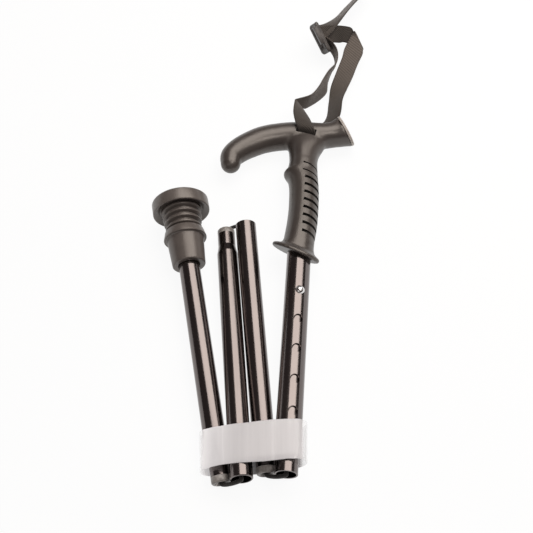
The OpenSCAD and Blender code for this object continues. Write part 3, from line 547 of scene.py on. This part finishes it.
steel, shader, wire = finish("spring_steel", Metallic=1.0, Roughness=0.3)
rolled = wire.node("TexNoise", {}, {"Vector": wire.node("Mapping", {}, {"Vector": wire.node("TexCoord", out=3),
    "Scale": (900, 40, 900)}), "Scale": 1.0, "Detail": 3.0})
wire.node("ValToRGB", {"stops": [(0.3, (0.42, 0.41, 0.39)), (0.7, (0.6, 0.59, 0.57))]}, {0: rolled}).to(
    shader, "Base Color")
(rolled * 0.25 + 0.18).to(shader, "Roughness")
dress(steel, "button_spring", "foot_washer")

bush_plastic, shader, wire = finish("grey_bush_plastic", Roughness=0.5)
mould = wire.node("TexNoise", {}, {"Vector": wire.node("TexCoord", out=3), "Scale": 500.0, "Detail": 5.0})
grime = wire.node("TexNoise", {}, {"Vector": wire.node("TexCoord", out=3), "Scale": 90.0, "Detail": 4.0})
# Painted highlight: the sharp rims of the bushes and plugs are coloured near white.
rim = wire.node("MapRange", {}, {0: wire.node("NewGeometry", out=7), 1: 0.5, 2: 0.57, 3: 0.0, 4: 1.0})
wire.node("ValToRGB", {"stops": [(0.25, (0.14, 0.127, 0.118)), (0.55, (0.22, 0.203, 0.19)), (1.0, (0.75, 0.71, 0.68))]},
    {0: grime * 0.5 + mould * 0.3 + rim * 0.6}).to(shader, "Base Color")
(mould * 0.2 + 0.22).to(shader, "Roughness")
wire.node("Bump", {}, {"Strength": 0.15, "Distance": 0.0002, "Height": mould}).to(shader, "Normal")
dress(bush_plastic, "cord_top_plug", "cord_tip_plug")

# Elastic cord.
# One braided black cord runs through all the sections. Between two folded sections it leaves the open end of
# one tube and goes straight into the bush of the next in a tight bend, which draws in as the cane unfolds.
braid, shader, wire = finish("braided_elastic", Roughness=0.75, Sheen_Weight=0.2, Sheen_Roughness=0.5)
here = wire.node("TexCoord", out=3)
plait = wire.node("TexVoronoi", {"feature": "F1"}, {"Vector": here, "Scale": 1300.0})
lint = wire.node("TexNoise", {}, {"Vector": here, "Scale": 700.0, "Detail": 4.0})
wire.node("ValToRGB", {"stops": [(0.1, (0.03, 0.026, 0.024)), (0.8, (0.008, 0.007, 0.007))]},
    {0: plait * 0.7 + lint * 0.3}).to(shader, "Base Color")
wire.node("Bump", {"invert": True}, {"Strength": 0.6, "Distance": 0.0004, "Height": plait}).to(shader, "Normal")
dress(braid, "cord_upper", "cord_second", "cord_third", "cord_fourth", "cord_top_knot", "cord_tip_knot")

bend_reach = 2.0 * mm
second = section((15, -156.5, 9.4), 4.7, 2.2)
third = section((-2.2, -163, 19), 4.3, -2.8)
fourth = section((-16.3, -163, 9.4), 9.7, 3.5)
for name, node, mouth, out, tip, tip_out, body, fold in (
        ("elastic_bend_lower", "cord_bend_lower", (upper, 0), -1, (second, 0), -1, "extension", "fold_lower"),
        ("elastic_bend_upper", "cord_bend_upper", (second, 207.5), 1, (third, 214), 1, "section_2", "fold_upper"),
        ("elastic_bend_tip", "cord_bend_tip", (third, 0), -1, (fourth, 0), -1, "section_3", "fold_tip")):
    mouth_at, tip_at = mouth[0] @ Vector((0, mouth[1] * mm, 0)), tip[0] @ Vector((0, tip[1] * mm, 0))
    mouth_way, tip_way = mouth[0].col[1].xyz * out, tip[0].col[1].xyz * tip_out
    line = [mouth_at - mouth_way * f * mm for f in (44, 33, 22, 11)]
    for k in range(25):
        t = k / 24
        line.append((1 - t) ** 3 * mouth_at + 3 * t * (1 - t) ** 2 * (mouth_at + bend_reach * mouth_way)
            + 3 * t ** 2 * (1 - t) * (tip_at + bend_reach * tip_way) + t ** 3 * tip_at)
    line += [tip_at - tip_way * f * mm for f in (2.5, 5)]
    square = mouth_way.cross(tip_at - mouth_at).normalized()
    frames = []
    for i, place in enumerate(line):
        way = (line[min(i + 1, len(line) - 1)] - line[max(i - 1, 0)]).normalized()
        side = (square - square.dot(way) * way).normalized()
        frames.append(frame_at(side, way.cross(side), way, place))
    bm = bmesh.new()
    loop = bmesh.ops.create_circle(bm, cap_ends=True, segments=16, radius=1.5 * mm, matrix=frames[0])["verts"]
    bmesh.ops.contextual_create(bm, geom=sweep(bm, loop, list(bm.edges), frames))
    bend = piece(name, bm, braid)
    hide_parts(node)
    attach(bend, body)
    tip_at - mouth_at
    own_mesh(bend)

# Lower sections.
# Three more lengths of the same anodised tube, each necked down to a spigot with a grey bush in its end.
dress(anodised("anodised_second", 4.7, 2.2), "second_tube")
dress(anodised("anodised_third", 4.3, -2.8), "third_tube")
dress(anodised("anodised_fourth", 9.7, 3.5), "fourth_tube")
for name, node, place, body in (("spigot_bush_second", "second_bush", second, "section_2"),
        ("spigot_bush_third", "third_bush", third @ Matrix.Translation((0, 214 * mm, 0)) @ Matrix.Rotation(pi, 4, "Z"),
            "section_3"),
        ("spigot_bush_fourth", "fourth_bush", fourth, "section_4")):
    bush = spun(name, [(3.5, 12), (3.5, 1.6), (4.4, 0.4), (4.9, 0), (6.1, 0), (7, 0.9), (7, 5), (5.8, 5), (5.8, 12),
        (3.5, 12)], place, bush_plastic, 0.25)
    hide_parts(node)
    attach(bush, body)

# Rubber foot.
# One matt grey-brown moulding over a steel washer: a tapered socket that grips the tube, a lip, a neck of four
# soft rings that lets the foot tilt, and a flared standing pad with a ringed tread.
rubber, shader, wire = finish("moulded_rubber", Specular_IOR_Level=0.75, Specular_Tint=(1, 0.93, 0.87, 1))
here = wire.node("TexCoord", out=3)
bloom = wire.node("TexNoise", {}, {"Vector": here, "Scale": 60.0, "Detail": 6.0, "Roughness": 0.62})
pores = wire.node("TexNoise", {}, {"Vector": here, "Scale": 1100.0, "Detail": 3.0})
# Painted shade: hollows such as the furrows between the neck rings and the tread grooves are coloured darker.
furrow_shade = wire.node("MapRange", {}, {0: wire.node("NewGeometry", out=7), 1: 0.5, 2: 0.42, 3: 0.0, 4: 1.0})
wire.node("ValToRGB", {"stops": [(0.0, (0.03, 0.025, 0.023)), (0.2, (0.08, 0.068, 0.062)), (0.55, (0.106, 0.091, 0.083)),
    (0.9, (0.142, 0.124, 0.114))]},
    {0: bloom * 0.75 + pores * 0.25 - furrow_shade * 0.8}).to(shader, "Base Color")
(bloom * 0.14 + pores * 0.08 + 0.22).to(shader, "Roughness")
wire.node("Bump", {}, {"Strength": 0.18, "Distance": 0.0002, "Height": pores}).to(shader, "Normal")
socket_at, neck_at, pad_at = 175, 206, 221.5
socket = spun("foot_socket_moulding", [(8.25, 3), (8.5, 0.5), (8.8, 0), (12.4, 0), (13.1, 0.75), (14.7, 23.3),
    (15.6, 23.8), (16.9, 23.8), (17.2, 24.3), (15.7, 30.5), (15.2, 31), (0, 31), (0, 29.5), (8.25, 29.5),
    (8.25, 3)], fourth @ Matrix.Translation((0, socket_at * mm, 0)), rubber, 0.25)
neck_top, ring_len = 20.4, 5.1
outline = [(8, neck_top), (8, 0)]
for k in range(4):
    low, r = k * ring_len, 14.6 + 0.6 * k
    outline += [(r - 3.4, low), (r - 3.2, low + 1.1), (r - 0.3, low + 1.8), (r, low + 2.3), (r, low + 3.1),
        (r - 0.3, low + 3.6), (r - 3.2, low + 4.3)]
neck = spun("foot_neck_rings", outline + [(14, neck_top), (8, neck_top)],
    fourth @ Matrix.Translation((0, (neck_at + 0.3) * mm, 0)), rubber, 0.2, 50)
pad_outline = [(0, 5.2), (17.4, 5.2), (21.6, 2.5), (22.4, 2.3), (23, 3), (23, 12.37), (21.87, 13.5)]
for r in (18.4, 12.65, 6.9):
    pad_outline += [(r, 13.5), (r, 12.15), (r - 1.35, 12.15), (r - 1.35, 13.5)]
pad = spun("foot_pad_moulding", pad_outline + [(0, 13.5)], fourth @ Matrix.Translation((0, pad_at * mm, 0)),
    rubber, 0.35)
for made, node in ((socket, "foot_socket"), (neck, "foot_neck"), (pad, "foot_pad")):
    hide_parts(node)
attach(socket, "section_4")
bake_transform(neck)
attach(pad, "foot")

# Holding band.
# A short sleeve of milky soft plastic that is pulled over the folded tubes; they show through it faintly.
band_w, band_t, band_gap, band_at, band_turn, band_slack = 29, 0.8, 0.4, 6.5, 3, 3
bm = bmesh.new()
for place, radius, off in ((upper, 9.5, band_slack), (second, 8.2, 0), (third, 8.2, 0), (fourth, 8.2, -band_slack)):
    for far in (band_at - band_w / 4, band_at + band_w * 1.25):
        bmesh.ops.create_circle(bm, segments=64, radius=(radius + band_gap + band_t) * mm,
            matrix=place @ Matrix.Translation((off * mm, far * mm, 0)) @ lengthwise)
hull = bmesh.ops.convex_hull(bm, input=bm.verts)
bmesh.ops.delete(bm, geom=[g for g in hull["geom_interior"] + hull["geom_unused"] if isinstance(g, bmesh.types.BMVert)],
    context="VERTS")
cut_way = Matrix.Rotation(radians(band_turn), 3, "Z") @ Vector((0, 1, 0))
for far, sign in ((band_at, -1), (band_at + band_w, 1)):
    flat = Matrix.Rotation(radians(band_turn), 3, "Z") @ Vector((0, far * mm, 0)) + Vector((0, upper.translation.y, 0))
    bmesh.ops.bisect_plane(bm, geom=[*bm.verts, *bm.edges, *bm.faces], plane_co=flat, plane_no=cut_way * sign,
        clear_outer=True)
bmesh.ops.subdivide_edges(bm, edges=[e for e in bm.edges if e.calc_length() > 4 * mm], cuts=5, use_grid_fill=True)
for _ in range(36):
    bmesh.ops.smooth_vert(bm, verts=bm.verts, factor=0.5, use_axis_x=True, use_axis_y=False, use_axis_z=True)
band = piece("band_sleeve", bm, None, 60)
wall = band.modifiers.new("wall", "SOLIDIFY")
wall.thickness, wall.offset = band_t * mm, -1
soft = band.modifiers.new("soft_edges", "BEVEL")
soft.width, soft.segments, soft.limit_method, soft.angle_limit = 0.25 * mm, 2, "ANGLE", radians(50)
settle(band)
# Painted light: an emission stands in for the floor's light shining through the sleeve, faint all over, strongest at
# its loose left end and raised at both ends.
milky, shader, wire = finish("milky_band", Specular_IOR_Level=0.5, Emission_Strength=0.4)
cloud = wire.node("TexNoise", {}, {"Vector": wire.node("Mapping", {}, {"Vector": wire.node("TexCoord", out=3),
    "Scale": (140, 6, 60)}), "Scale": 1.0, "Detail": 4.0})
fine = wire.node("TexNoise", {}, {"Vector": wire.node("TexCoord", out=3), "Scale": 600.0, "Detail": 2.0})
wire.node("ValToRGB", {"stops": [(0.3, (0.6, 0.59, 0.61)), (0.7, (0.7, 0.69, 0.71))]}, {0: cloud}).to(
    shader, "Base Color")
(cloud * 0.16 + 0.18).to(shader, "Roughness")
along_band = wire.node("SeparateXYZ", {}, {0: wire.node("TexCoord", out=3)})
ends = wire.node("MapRange", {"interpolation_type": "SMOOTHSTEP"},
    {0: wire.sum("ABSOLUTE", along_band + 0.002), 1: 0.0325, 2: 0.0365, 3: 0.0, 4: 1.0})
glow_end = wire.node("MapRange", {}, {0: along_band, 1: -0.002, 2: -0.037, 3: 0.0, 4: 1.0})
wire.node("ValToRGB", {"stops": [(0.0, (0.08, 0.08, 0.08)), (1.0, (1, 0.98, 0.97))]}, {0: glow_end * glow_end + ends * 0.4}).to(
    shader, "Emission Color")
(cloud * 0.05 + 0.9 - ends * 0.76).to(shader, "Alpha")
wire.node("Bump", {}, {"Strength": 0.03, "Distance": 0.0003, "Height": fine * 0.5 + cloud}).to(shader, "Normal")
band.data.materials.clear()
band.data.materials.append(milky)
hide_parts("holder_band")
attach(band, "band")
